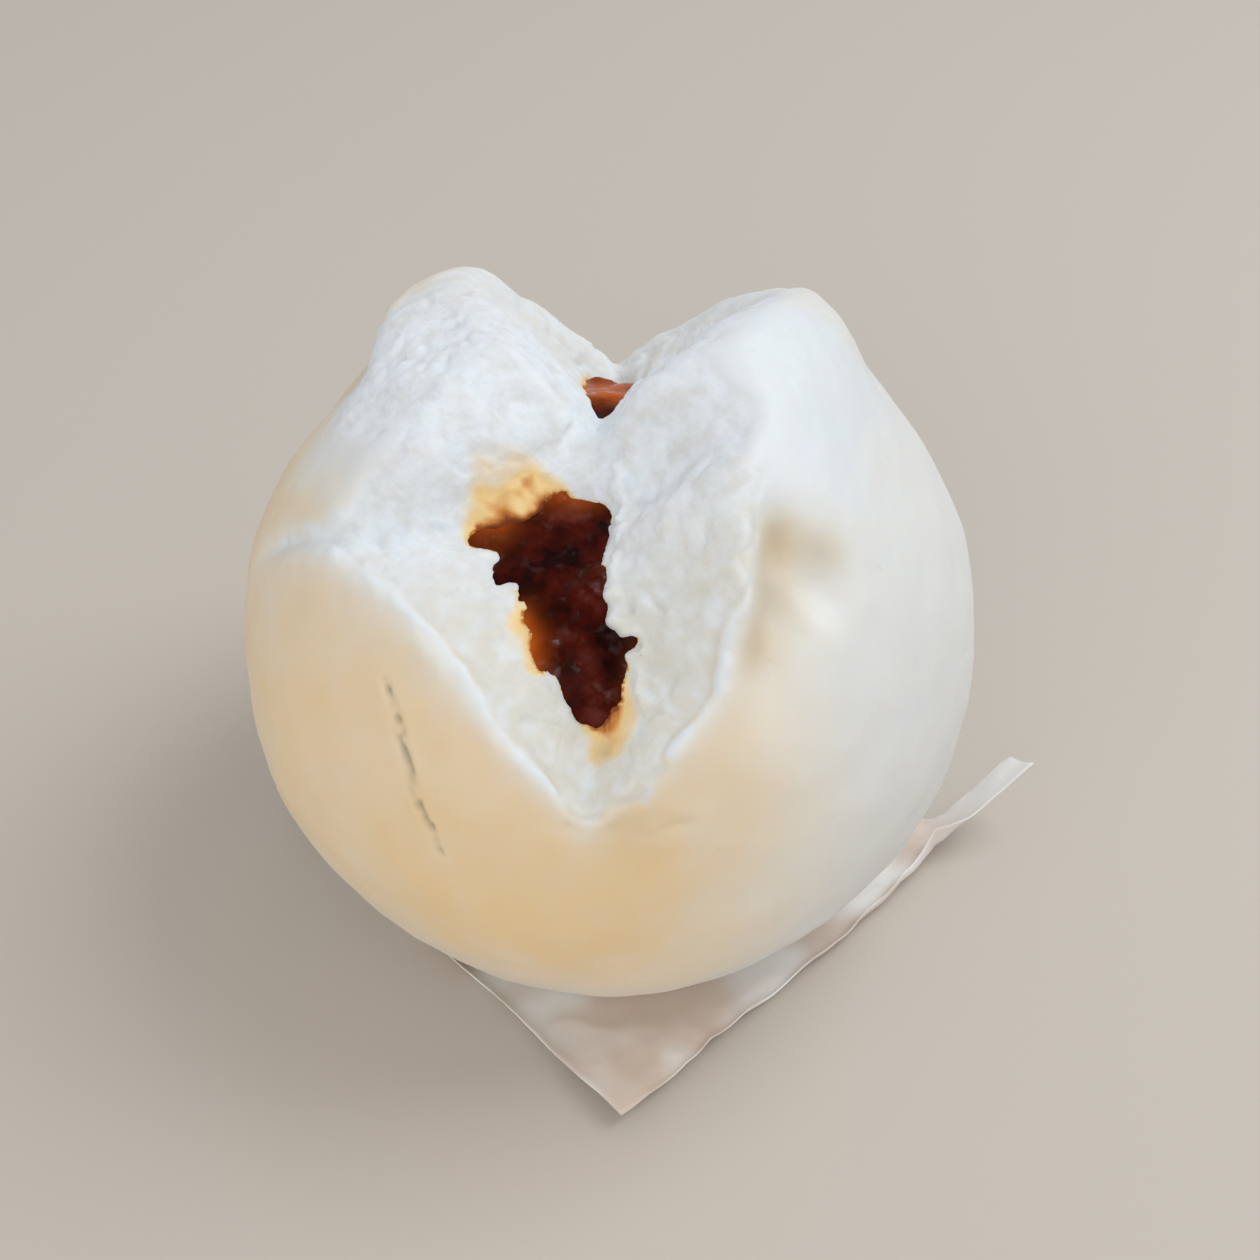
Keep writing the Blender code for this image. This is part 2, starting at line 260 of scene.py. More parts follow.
def add_node(material, kind, **settings):
    """A shader node; a setting whose name is an input's (with _ for a space) fills that input."""
    made = material.node_tree.nodes.new(kind)
    for name, value in settings.items():
        if hasattr(made, name):
            setattr(made, name, value)
        else:
            made.inputs[name.replace("_", " ")].default_value = value
    return made


def new_material(name):
    """A material and its Principled shader."""
    made = bpy.data.materials.new(name)
    made.use_nodes = True
    return made, made.node_tree.nodes["Principled BSDF"]


def rgba(colour):
    return (*colour, 1.0)


def noise_node(material, length_mm, detail=2.0, roughness=0.5):
    """Noise over the object's own coordinates, whose lumps are about `length_mm` apart."""
    links = material.node_tree.links
    coordinates = add_node(material, "ShaderNodeTexCoord")
    made = add_node(material, "ShaderNodeTexNoise", Scale=1.0 / (length_mm * MM), Detail=detail)
    made.inputs["Roughness"].default_value = roughness
    links.new(coordinates.outputs["Object"], made.inputs["Vector"])
    return made


def ramp_node(material, source, stops):
    """Maps `source` through (place, colour) stops."""
    made = add_node(material, "ShaderNodeValToRGB")
    ramp = made.color_ramp
    while len(ramp.elements) < len(stops):
        ramp.elements.new(0.5)
    for element, (place, colour) in zip(ramp.elements, stops):
        element.position = place
        element.color = rgba(colour) if len(colour) == 3 else colour
    material.node_tree.links.new(source, made.inputs["Fac"])
    return made


def mix_colours(material, share, first, second):
    """Mixes two colours or colour outputs by an output or a number."""
    links = material.node_tree.links
    made = add_node(material, "ShaderNodeMix", data_type="RGBA")
    sockets = [s for s in made.inputs if s.enabled]
    for value, socket in zip((share, first, second), sockets):
        if isinstance(value, bpy.types.NodeSocket):
            links.new(value, socket)
        else:
            socket.default_value = rgba(value) if isinstance(value, tuple) else value
    return [s for s in made.outputs if s.enabled][0]


def paper_finish():
    """Thin matt paper with damp blotches and fine fibres."""
    made, shader = new_material("damp baking paper")
    links = made.node_tree.links
    damp = add_node(made, "ShaderNodeAttribute", attribute_name="damp")
    colour = mix_colours(made, damp.outputs["Fac"], PAPER_COLOUR, PAPER_DAMP_COLOUR)
    links.new(colour, shader.inputs["Base Color"])
    fibres = noise_node(made, FIBRE_LENGTH, 4.0, 0.65)
    bump = add_node(made, "ShaderNodeBump", Strength=FIBRE_STRENGTH, Distance=FIBRE_HEIGHT * MM)
    links.new(fibres.outputs["Fac"], bump.inputs["Height"])
    links.new(bump.outputs["Normal"], shader.inputs["Normal"])
    shader.inputs["Roughness"].default_value = PAPER_ROUGHNESS
    shader.inputs["Sheen Weight"].default_value = PAPER_SHEEN
    return made


paper = make_paper()
write_mask(paper.data, "damp", paper_damp(mesh_points(paper.data)))
paper.data.materials.append(paper_finish())
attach(paper, "root")
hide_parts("paper")


# ---- The filling -------------------------------------------------------------------------------------
# Diced roast pork, cooked down in a thick, dark, sticky sauce, and shut in the dough before steaming.
# One lump as large as its pocket, with the dice and the sauce between them worked out of its surface.

FILLING_CENTRE = np.array((-2.0, -3.6, 32.0))
FILLING_REACH = np.array((16.5, 25.6, 21.5))
FILLING_SQUARENESS = 2.5
FILLING_TAPER = 0.1
FILLING_DETAIL = 6
LUMP_SIZE = 7.0
LUMP_HEIGHT = 1.4
LUMP_MIDDLE = 0.5
# The dice: how many, how they are rounded, how much they keep to the top, and how deep they are sunk
DICE = 150
DICE_SEED = 7
DICE_DETAIL = 3
DICE_HALF_SIZE = (1.5, 2.9)
DICE_SQUARENESS = 3.4
DICE_UPWARDS = 1.2
DICE_SUNK = 0.88
FILLING_VOXEL = 0.38
FILLING_SMOOTHING = 4
RIPPLE_LENGTH = 1.6
RIPPLE_HEIGHT = 0.10
# Where the sauce is thin round the mouth: place in plan, reach across and along, and how thin
THIN_SPOTS = (
    (-8.0, -24.6, 1.7, 2.6, 1.2),
    (-11.6, -11.5, 2.4, 2.6, 0.75),
    (-5.0, -9.4, 4.5, 1.6, 0.6),
    (2.6, -27.0, 1.4, 2.4, 0.5),
)
# It is thin all through the small gap behind, which starts between these y, and less so past its middle
GAP_START = (4.0, 9.0)
GAP_MIDDLE = (12.5, 17.0)
GAP_THICKENING = 0.6
THIN_PATCHES = (3.0, 0.8, 0.4, 0.0, 2.0)
SAUCE_DARK = (0.011, 0.0013, 0.0011)
SAUCE_RED = (0.060, 0.0055, 0.0022)
SAUCE_THIN = (0.58, 0.11, 0.008)
MEAT_PALE = (0.115, 0.026, 0.018)
SAUCE_SHEEN = (1.0, 0.55, 0.50)
SAUCE_ROUGHNESS = (0.06, 0.24)
SAUCE_IOR = 1.3
SAUCE_SPECULAR = 0.15
PORK_PATCH_LENGTH = 4.5
PORK_GRAIN_LENGTH = 0.8
PORK_GRAIN_HEIGHT = 0.25
PORK_GRAIN_STRENGTH = 0.5
GLAZE_SPOT_LENGTH = 1.5
GLAZE_WEIGHT = (0.5, 0.5, 0.5)
GLAZE_ROUGHNESS = 0.08
BLACK = (0.0, 0.0, 0.0)


def unit_ball(detail):
    """Directions of a ball's points, and its faces."""
    bm = bmesh.new()
    bmesh.ops.create_icosphere(bm, subdivisions=detail, radius=1.0)
    directions = np.array([v.co for v in bm.verts])
    faces = [[v.index for v in face.verts] for face in bm.faces]
    bm.free()
    return directions, faces


def filling_points(directions):
    """Points of the filling's plain, lumpy outside in mm."""
    power = FILLING_SQUARENESS
    size = (np.abs(directions) ** power).sum(axis=1) ** (-1.0 / power)
    shape = directions * size[:, None]
    points = shape * FILLING_REACH
    points[:, :2] *= (1.0 + FILLING_TAPER * shape[:, 2])[:, None]
    lumps = []
    for point in points:
        nearest = noise.voronoi(Vector(point) / LUMP_SIZE)[0]
        lumps.append(LUMP_HEIGHT * (LUMP_MIDDLE - min(nearest[0], 1.0)))
    points += directions * np.array(lumps)[:, None]
    return points + FILLING_CENTRE


def random_turns(rng, count):
    """One random rotation matrix for each of `count` pieces."""
    turns = []
    for _ in range(count):
        axis = rng.normal(size=3)
        turns.append(np.array(Matrix.Rotation(rng.uniform(0.0, math.tau), 3, Vector(axis).normalized())))
    return turns


def scatter(shape, faces, places, sizes, turns):
    """Points and faces of one mesh made of turned and stretched copies of a shape."""
    all_points = []
    all_faces = []
    for number, (place, size, turn) in enumerate(zip(places, sizes, turns)):
        all_points.append((shape * size) @ turn.T + place)
        start = number * len(shape)
        all_faces.extend([[start + index for index in face] for face in faces])
    return np.vstack(all_points), all_faces


def mesh_of(name, parts):
    """One piece made of several (points in mm, faces) parts."""
    points = []
    faces = []
    for part_points, part_faces in parts:
        start = len(points)
        points.extend(part_points * MM)
        faces.extend([[start + index for index in face] for face in part_faces])
    mesh = bpy.data.meshes.new(name)
    mesh.from_pydata([tuple(point) for point in points], [], faces)
    mesh.shade_smooth()
    piece = bpy.data.objects.new(name, mesh)
    bpy.context.scene.collection.objects.link(piece)
    return piece


def weld(piece, voxel, smoothing):
    """Makes one closed skin round everything in the piece, and softens it."""
    skin = piece.modifiers.new("one skin", "REMESH")
    skin.mode = "VOXEL"
    skin.voxel_size = voxel * MM
    soft = piece.modifiers.new("softening", "SMOOTH")
    soft.iterations = smoothing
    soft.factor = 0.5
    settle(piece)


def point_normals(mesh):
    """The mesh's outward direction at each point."""
    normals = np.empty(len(mesh.vertices) * 3)
    mesh.vertex_normals.foreach_get("vector", normals)
    return normals.reshape(-1, 3)


def make_filling():
    """The lump and the dice sunk into it, welded into one, with a fine ripple all over."""
    directions, faces = unit_ball(FILLING_DETAIL)
    body = filling_points(directions)
    rng = np.random.default_rng(DICE_SEED)
    dice_directions, dice_faces = unit_ball(DICE_DETAIL)
    rounding = (np.abs(dice_directions) ** DICE_SQUARENESS).sum(axis=1) ** (-1.0 / DICE_SQUARENESS)
    dice_shape = dice_directions * rounding[:, None]
    outwards = rng.normal(size=(DICE, 3))
    outwards[:, 2] = np.abs(outwards[:, 2]) * DICE_UPWARDS
    outwards /= np.linalg.norm(outwards, axis=1)[:, None]
    sizes = rng.uniform(*DICE_HALF_SIZE, size=(DICE, 3))
    places = filling_points(outwards) - outwards * (sizes.mean(axis=1) * DICE_SUNK)[:, None]
    dice = scatter(dice_shape, dice_faces, places, sizes, random_turns(rng, DICE))
    filling = mesh_of("roast_pork", ((body, faces), dice))
    weld(filling, FILLING_VOXEL, FILLING_SMOOTHING)
    points = mesh_points(filling.data)
    ripple = RIPPLE_HEIGHT * read_noise(points, RIPPLE_LENGTH, 3)
    move_points(filling.data, points + point_normals(filling.data) * ripple[:, None])
    return filling


def range_node(material, source, limits):
    """Stretches a value from 0 to 1 over these limits."""
    made = add_node(material, "ShaderNodeMapRange")
    made.inputs["To Min"].default_value = limits[0]
    made.inputs["To Max"].default_value = limits[1]
    material.node_tree.links.new(source, made.inputs["Value"])
    return made.outputs["Result"]


def filling_finish():
    """Nearly black, glossy sauce over dull red meat, orange where it is thin, with wet spots."""
    made, shader = new_material("roast pork in dark sauce")
    links = made.node_tree.links
    patches = noise_node(made, PORK_PATCH_LENGTH, 3.0, 0.6)
    colour = ramp_node(
        made,
        patches.outputs["Fac"],
        ((0.40, SAUCE_DARK), (0.58, SAUCE_RED), (0.74, MEAT_PALE)),
    )
    thin = add_node(made, "ShaderNodeAttribute", attribute_name="thin")
    mixed = mix_colours(made, thin.outputs["Fac"], colour.outputs["Color"], SAUCE_THIN)
    links.new(mixed, shader.inputs["Base Color"])
    grain = noise_node(made, PORK_GRAIN_LENGTH, 4.0, 0.6)
    rough = range_node(made, grain.outputs["Fac"], SAUCE_ROUGHNESS)
    links.new(rough, shader.inputs["Roughness"])
    height = PORK_GRAIN_HEIGHT * MM
    bump = add_node(made, "ShaderNodeBump", Strength=PORK_GRAIN_STRENGTH, Distance=height)
    links.new(grain.outputs["Fac"], bump.inputs["Height"])
    links.new(bump.outputs["Normal"], shader.inputs["Normal"])
    shader.inputs["IOR"].default_value = SAUCE_IOR
    shader.inputs["Specular IOR Level"].default_value = SAUCE_SPECULAR
    shader.inputs["Specular Tint"].default_value = rgba(SAUCE_SHEEN)
    spots = noise_node(made, GLAZE_SPOT_LENGTH, 2.0)
    glaze = ramp_node(made, spots.outputs["Fac"], ((0.58, BLACK), (0.70, GLAZE_WEIGHT)))
    links.new(glaze.outputs["Color"], shader.inputs["Coat Weight"])
    shader.inputs["Coat Roughness"].default_value = GLAZE_ROUGHNESS
    return made


def distance_in_plan(points, place, across, along):
    """Squared distance from a place in plan, measured in its reach across and along."""
    return ((points[:, 0] - place[0]) / across) ** 2 + ((points[:, 1] - place[1]) / along) ** 2


def thin_sauce(points):
    """Where the sauce thins out to orange: at the small gap behind, and round the mouth's left side."""
    y = points[:, 1]
    amount = smooth_step(*GAP_START, y) * (1.0 - GAP_THICKENING * smooth_step(*GAP_MIDDLE, y))
    for *place, across, along, strength in THIN_SPOTS:
        amount += strength * np.exp(-distance_in_plan(points, place, across, along))
    return np.clip(amount * patches(points, *THIN_PATCHES), 0.0, 1.0)


filling = make_filling()
write_mask(filling.data, "thin", thin_sauce(mesh_points(filling.data)))
filling.data.materials.append(filling_finish())
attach(filling, "root")
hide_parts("filling")


# ---- The dough ---------------------------------------------------------------------------------------
# A ball of white wheat dough, gathered shut over the filling and steamed until it burst. The outside is
# a smooth, damp skin; where it tore, the inside shows as soft, pulled, cottony crumb.

BALL_RADIUS = 37.3
BALL_DETAIL = 7
BALL_FOOT = 0.8
FOOT_SLACK = 0.2
UNEVENNESS = 0.55
UNEVEN_LENGTH = 19.0
# The tall petals' long rims: place in plan, reach in x, to the back and to the front, height, steepness
RIMS = ((-15.2, 8.5, 8.7, 12.3, 17.0, 3.9, 8.0), (12.8, 7.5, 9.2, 12.5, 24.0, 3.3, 4.5))
# Towards the front their steepness turns to this, and how quickly; they and the dents fade out at half height
RIM_FRONT_STEEPNESS = 2.4
RIM_FRONT_TURN = 1.6
UPPER_FADE = 3.0
# Dents in the upper skin: place in plan, reach, depth
DENTS = (
    (10.5, -16.5, 2.0, -0.9),
    (10.8, -20.5, 2.0, -1.1),
    (10.7, -24.5, 2.0, -0.9),
    (14.0, -20.6, 2.3, 2.3),
    (14.2, -24.6, 2.4, 2.4),
    (13.4, -28.2, 2.4, 1.5),
    (18.0, -21.4, 2.4, 2.0),
    (19.0, -24.0, 1.6, -0.6),
    (21.0, -9.0, 6.0, 0.6),
    (-2.0, 24.0, 11.0, 3.2),
    (-30.0, 9.0, 6.5, 1.2),
)
# The split: its line in plan as (y, x), and its floor as (y, z)
SPLIT_LINE = (
    (-36.0, -2.0),
    (-30.0, 1.2),
    (-27.0, 0.9),
    (-24.0, -1.4),
    (-20.0, -2.9),
    (-17.0, -3.4),
    (-12.5, -1.2),
    (-9.5, -1.2),
    (-7.0, -3.4),
    (4.0, -2.0),
    (20.0, -0.3),
)
SPLIT_FLOOR = (
    (-36.0, 38.0),
    (-29.0, 43.0),
    (-26.0, 46.4),
    (-18.0, 51.0),
    (-12.5, 51.8),
    (-9.0, 53.0),
    (-6.0, 59.0),
    (0.0, 55.8),
    (8.0, 50.8),
    (16.0, 46.1),
    (21.0, 47.5),
    (26.0, 44.0),
    (35.0, 32.0),
)
# A notch between the mouth and the small gap behind: place in plan, reach across and along, depth
NOTCH = (-1.7, -2.5, 1.4, 6.0, 2.7)
# Slopes of the torn faces away from the split, as (y, slope)
RIGHT_SLOPES = ((-28.0, 0.8), (-15.0, 0.9), (0.0, 1.0), (20.0, 0.85))
LEFT_SLOPES = ((0.0, 1.3), (20.0, 0.99))
# The tall left petal's front face: its foot as (x, y), its slope as (x, slope). Its outer left face: one
# point on it, and its slopes in x and y
FACE_FOOT = ((-35.0, -2.0), (-31.0, -7.5), (-27.0, -14.0), (-18.0, -14.2), (-9.0, -14.0), (-2.0, -9.5))
FACE_FOOT_HEIGHT = 50.0
FACE_SLOPES = ((-19.0, 2.6), (-12.0, 1.3), (-6.0, 1.5), (-1.0, 2.4))
EAR_POINT = (-23.5, -2.0, 59.9)
EAR_SLOPES = (0.4, 0.04)
# The low flap's ledge: its height at the mouth, its bend up to its crest between two radii, the mouth's
# edge as (y, x) and slope, and the crest, which falls off to both sides of one bearing
LEDGE_HEIGHT = 50.8
LEDGE_INNER_RADIUS = 14.0
LEDGE_OUTER_RADIUS = 30.0
LEDGE_BEND = 1.5
LEDGE_LIMIT = 1.2
MOUTH_EDGE = ((-31.0, 2.2), (-27.0, -0.2), (-22.5, -5.0), (-18.0, -7.6), (-9.5, -11.4))
MOUTH_SLOPE = 1.9
CREST_HEIGHT = 51.6
CREST_BEARING = -48.0
CREST_FALL_FRONT = 0.0053
CREST_FALL_LEFT = 0.0066
# Widths over which torn edges are rounded, the rims' as (y, width), and over which the curves are softened
TEAR_ROUNDING = 1.2
EAR_ROUNDING = 6.0
RIM_ROUNDING = ((-16.0, 1.2), (-8.0, 4.5), (16.0, 4.5), (24.0, 2.0))
SOFTENING = 2.4
# A row of crumbs beside the mouth, from front to back: how many, how far from the split, and their sizes
CRUMBS = 46
CRUMB_SEED = 11
CRUMB_ROW = (-28.0, -8.5)
CRUMB_STRAY = 0.5
CRUMB_OFFSET = (1.7, 3.0)
CRUMB_SIZE = (0.4, 0.8)
CRUMB_STRETCH = (0.7, 1.2)
# The torn faces: (length, height) of their swellings, of two sizes of domes with creases between them,
# and of fuzz; pits, as (length, rarity, depth); and how far all but the swellings are pushed about
SWELLINGS = (5.5, 0.80)
COARSE_DOMES = (3.0, 0.48)
FINE_DOMES = (1.3, 0.15)
DOME_MIDDLES = (0.45, 0.4)
FUZZ = (0.8, 0.07)
PITS = (1.9, 0.30, 0.9)
BEND_LENGTH = 3.1
BEND_REACH = 1.3
BEND_SHIFTS = (Vector((0.0, 0.0, 0.0)), Vector((29.0, 0.0, 0.0)), Vector((0.0, 53.0, 0.0)))
# Strands: their length, height, and how they are drawn out across the split
STRAND_LENGTH = 1.3
STRAND_HEIGHT = 0.13
STRAND_STRETCH = np.array((0.3, 1.0, 0.3))
# The relief of the skin, as lengths and heights: waves, a ripple near the top, wrinkles, and pores
WAVES = (7.0, 0.18)
TOP_RIPPLE = (2.6, 0.10)
TOP_HEIGHTS = (46.0, 58.0)
WRINKLES = (1.8, 0.03)
WRINKLE_STRETCH = np.array((1.0, 1.0, 0.5))
PORES = (1.1, 0.25)
PORE_RARITY = 0.5
# The crumb is roughest deep inside, less so near the tear's edge, and calmer on the right petal's face
ROUGH_DEPTHS = (1.0, 5.0)
ROUGH_AT_EDGE = 0.45
CALM_SHARE = 0.35
CALM_ACROSS = (2.0, 8.0)
CALM_ALONG = (-18.0, -10.0)
# The skin stands up in a lip along the tear, which is crisp in front of these y on the right and on the
# left, and soft elsewhere: how high it is, how far down the skin, and how uneven
LIP_STARTS = (-14.0, -4.0)
LIP_FADE = 6.0
LIP_ELSEWHERE = 0.15
LIP_HEIGHT = 0.35
LIP_PLACE = (0.1, 0.5)
LIP_REACH = 1.8
LIP_PATCHES = (3.6, 0.6, 1.2, 0.0, 1.2)
# A share too small to show
NEGLIGIBLE = 0.01
# Depths below the old skin over which a face counts as torn, for its relief and for its colour, and the
# heights above which there is a tear at all. A groove runs just inside the tear's edge
TORN_RELIEF = (0.5, 1.6)
TORN_COLOUR = (0.45, 1.15)
TORN_HEIGHTS = (30.0, 36.0)
GROOVE_DEPTH = 0.2
GROOVE_PLACE = (1.1, 0.4)
TEAR_WANDER = 0.5
TEAR_WANDER_LENGTH = 3.6
# Where the skin came away with the tear: a point, a radius, and how much deeper it counts as torn
BARE_PATCHES = (
    ((-21.5, 0.5, 60.0), 7.5, 2.2),
    ((10.0, -17.5, 61.5), 2.6, 1.6),
    ((9.8, -21.0, 59.5), 2.4, 1.6),
    ((9.4, -24.8, 56.5), 2.4, 1.6),
    ((-1.2, -34.8, 40.4), 3.0, 1.2),
    ((2.4, -34.2, 42.0), 2.6, 1.0),
)
# Creases in the skin, as a line of points in plan and height, with a half width, a depth and how much shade
# is painted in them
CREASES = (
    (
        ((-19.4, -26.6, 45.2), (-18.3, -29.1, 41.9), (-16.9, -31.2, 38.4), (-14.5, -33.6, 31.8)),
        0.45,
        0.25,
        0.55,
    ),
    (((-3.5, -35.6, 38.2), (2.1, -35.9, 37.2), (6.5, -35.2, 37.6)), 0.9, 0.18, 0.04),
    (((27.5, 19.5, 45.0), (30.5, 17.5, 38.0), (32.0, 15.5, 31.0)), 1.5, 0.35, 0.08),
    (((-20.0, 29.5, 41.0), (-22.0, 30.0, 34.0), (-21.0, 31.5, 27.0)), 1.4, 0.40, 0.08),
    (((8.0, 33.5, 42.5), (6.5, 36.0, 36.0), (7.5, 36.8, 30.0)), 1.3, 0.30, 0.08),
)
# Beside a crease the skin swells: by this share of its depth, and this many widths away
CREASE_BANK = 0.3
CREASE_BANK_AWAY = 2.4
CREASE_WANDER = 0.6
CREASE_WANDER_LENGTH = 2.6
CREASE_WANDER_SHIFTS = (0.0, 31.0, 67.0)
# It breaks up in patches this many widths apart: (middle, contrast, lowest, highest)
CREASE_BREAKS_APART = 3.5
CREASE_BREAKS = (0.7, 1.5, 0.1, 1.5)
# The faces are thinned out less where a crease's painted shade is this strong, by this much
CREASE_DETAIL = (0.03, 0.9)
DOUGH_VOXEL = 0.30
DOUGH_SMOOTHING = 5
DOUGH_SHARE = 0.33
PLAIN_THINNING = 8.0
# Beige spots with painted shade in the right petal's dents and below the mouth's V, and a darker spot at the
# foot of the mouth
# As a point, a radius, how tan they are, and how much shade is painted
BEIGE_AND_SHADE_SPOTS = (
    ((13.8, -19.6, 56.8), 2.9, 0.42, 0.30),
    ((13.8, -23.4, 53.6), 2.7, 0.14, 0.30),
    ((12.6, -26.6, 51.0), 2.3, 0.25, 0.28),
    ((18.4, -19.0, 55.6), 2.4, 0.22, 0.22),
    ((2.1, -35.9, 37.8), 3.2, 0.08, 0.14),
    ((-0.5, -30.2, 41.0), 1.3, 0.0, 0.42),
)
# Where sauce has soaked further into the crumb: place in plan, reach across and along, and how far in mm
SOAKED_SPOTS = (
    (-9.2, -9.8, 3.2, 2.6, 4.2),
    (-12.4, -10.4, 2.4, 2.2, 3.4),
    (-8.6, -24.6, 2.0, 2.8, 1.1),
    (0.4, -30.0, 1.9, 2.4, 3.4),
    (-2.5, 13.5, 2.5, 6.0, 1.0),
)
SOAKED_EVERYWHERE = 0.05
SOAKED_LEAST_TORN = 0.2
SOAKED_WANDER = (2.4, 0.30)
# How deep the colour of soaked crumb is, how blotchy, and how far its dark fringe reaches for its size
SOAKED_DEPTH = 0.46
SOAKED_BLOTCHES = (1.5, 0.05)
FRINGE_DEPTH = 0.52
FRINGE_LEAST = 0.08
FRINGE_GROWTH = 0.062
# The skin's tan is partly its own colour and partly painted warm bounce light low down
# The skin's tan comes in below the tear, by a quick and a slow share: (share, over how many mm)
TAN_RISES = ((0.82, 1.5), (0.18, 10.0))
# Behind, the tan reaches right up to the tear, as painted warm light in the shade there
# Where the tear is this high, and in front of these y, it starts lower, between these wandering heights
PALE_TOPS = (52.0, 57.0)
PALE_FRONT = (12.0, 2.0)
PALE_HEIGHTS = (60.0, 40.0)
PALE_WANDER = (13.0, 5.0)
# It is strong on the left and weak right of here, and fades to the back, the far left and the foot; the fade
# at the foot is painted light on the shaded lower skin
TAN_SIDES = (25.0, 0.0)
TAN_RIGHT = 0.13
TAN_WANDER = (14.0, 4.0)
TAN_BACK = (4.0, 28.0)
TAN_BACK_LOSS = 0.4
TAN_FAR_LEFT = (-8.0, -30.0)
TAN_FAR_LEFT_LOSS = 0.18
TAN_FOOT = 0.38
TAN_FOOT_HEIGHTS = (4.0, 24.0)
TAN_MOTTLES = (7.0, 0.15)
# The crumb is creamy in front and half as much behind, where the cream is painted warm light in the shade,
# and bluish white between, which is painted cool light
CREAMY_FRONT = (-12.0, -28.0)
CREAMY_BACK = (4.0, 14.0)
CREAMY_BACK_SHARE = 0.45
CREAMY_WANDER = (6.0, 3.0)
CREAMY_MOTTLES = (2.1, 0.8, 0.7, 0.0, 1.2)
# The skin's white is faintly blue: painted cool light from above
SKIN_WHITE = (0.785, 0.82, 0.83)
SKIN_CREAM = (0.82, 0.775, 0.68)
SKIN_TAN_AND_BOUNCE = (0.85, 0.635, 0.36)
# Colour of the shade painted in the creases and dents, also used to darken the mouth's foot
PAINTED_SHADE_COLOUR = (0.42, 0.36, 0.24)
# The crumb's white is faintly blue: painted cool light from above
CRUMB_WHITE = (0.83, 0.875, 0.905)
CRUMB_GREY = (0.76, 0.77, 0.76)
CRUMB_CREAM = (0.75, 0.73, 0.655)
STAIN_PALE = (0.92, 0.82, 0.60)
STAIN_YELLOW = (0.93, 0.66, 0.30)
STAIN_ORANGE = (0.68, 0.28, 0.06)
STAIN_BROWN = (0.30, 0.07, 0.012)
STAIN_DARK = (0.12, 0.018, 0.004)
WHITE = (1.0, 1.0, 1.0)
CRUMB_PATCH_LENGTH = 2.2
# For the skin and for the crumb: roughness, and how strong the finest fuzz is
DOUGH_ROUGHNESS = (0.50, 0.88)
FINE_FUZZ_STRENGTH = (0.10, 0.55)
FINE_FUZZ_LENGTH = 0.4
FINE_FUZZ_HEIGHT = 0.15
# Light that sinks into the dough and comes out again: how much, how far for red, green and blue, and mm
GLOW_WEIGHT = 0.4
GLOW_COLOURS = (1.0, 0.75, 0.5)
GLOW_DEPTH = 1.8
DOUGH_SPECULAR = 0.4


def read_curve(value, points):
    """Reads a curve that is given by a few (value, result) points, with its corners softened."""
    at, result = zip(*points)
    nearby = [np.interp(value + step * SOFTENING, at, result) for step in (-1.0, -0.5, 0.0, 0.5, 1.0)]
    return np.mean(nearby, axis=0)


def lower_of(a, b, width):
    """The lower of two heights, with the edge between them rounded over `width`."""
    share = np.clip(0.5 + 0.5 * (b - a) / width, 0.0, 1.0)
    return b + (a - b) * share - width * share * (1.0 - share)


def upper_of(a, b, width):
    """The higher of two heights, rounded in the same way."""
    return -lower_of(-a, -b, width)


def right_petal(x, y):
    """Height of the torn face that climbs from the split to the right."""
    rise = read_curve(y, RIGHT_SLOPES) * (x - read_curve(y, SPLIT_LINE))
    return read_curve(y, SPLIT_FLOOR) + rise


def left_petal(x, y):
    """Height of the tall left petal: the lowest of the three torn faces that bound it."""
    rise = read_curve(y, LEFT_SLOPES) * (read_curve(y, SPLIT_LINE) - x)
    from_split = read_curve(y, SPLIT_FLOOR) + rise
    from_front = FACE_FOOT_HEIGHT + read_curve(x, FACE_SLOPES) * (y - read_curve(x, FACE_FOOT))
    start_x, start_y, start_z = EAR_POINT
    from_rim = start_z + EAR_SLOPES[0] * (x - start_x) + EAR_SLOPES[1] * (y - start_y)
    return lower_of(lower_of(from_split, from_front, TEAR_ROUNDING), from_rim, EAR_ROUNDING)


def low_flap(x, y):
    """Height of the low flap in front: a dished ledge, cut off by the slope into the mouth."""
    bearing = np.degrees(np.arctan2(x, -y))
    past = bearing - CREST_BEARING
    crest = CREST_HEIGHT - np.where(past > 0.0, CREST_FALL_FRONT, CREST_FALL_LEFT) * past**2
    outwards = (np.hypot(x, y) - LEDGE_INNER_RADIUS) / (LEDGE_OUTER_RADIUS - LEDGE_INNER_RADIUS)
    dish = LEDGE_HEIGHT + (crest - LEDGE_HEIGHT) * np.clip(outwards, 0.0, LEDGE_LIMIT) ** LEDGE_BEND
    into_mouth = LEDGE_HEIGHT + MOUTH_SLOPE * (read_curve(y, MOUTH_EDGE) - x)
    return lower_of(dish, into_mouth, TEAR_ROUNDING)


def torn_top(x, y):
    """Height of the torn top over a plan position: the highest of the three petals."""
    tall = upper_of(right_petal(x, y), left_petal(x, y), TEAR_ROUNDING)
    notch_x, notch_y, across, along, depth = NOTCH
    tall -= depth * np.exp(-(((x - notch_x) / across) ** 2) - ((y - notch_y) / along) ** 2)
    return upper_of(tall, low_flap(x, y), TEAR_ROUNDING)


def skin_reach(directions):
    """How far the untorn skin is from the ball's middle, in each direction."""
    reach = BALL_RADIUS + UNEVENNESS * read_noise(directions * BALL_RADIUS, UNEVEN_LENGTH)
    plan = directions[:, :2] * BALL_RADIUS
    upper = np.clip(directions[:, 2] * UPPER_FADE, 0.0, 1.0)
    for x, y, across, back, front, height, steepness in RIMS:
        along = (plan[:, 1] - y) / np.where(plan[:, 1] < y, front, back)
        away = np.hypot((plan[:, 0] - x) / across, along)
        turned = np.clip(-RIM_FRONT_TURN * along, 0.0, 1.0)
        steepness = steepness + (RIM_FRONT_STEEPNESS - steepness) * turned
        reach += upper * height * np.exp(-(away**steepness))
    for x, y, width, depth in DENTS:
        away = np.hypot(plan[:, 0] - x, plan[:, 1] - y) / width
        reach -= upper * depth * np.exp(-(away**2))
    return reach


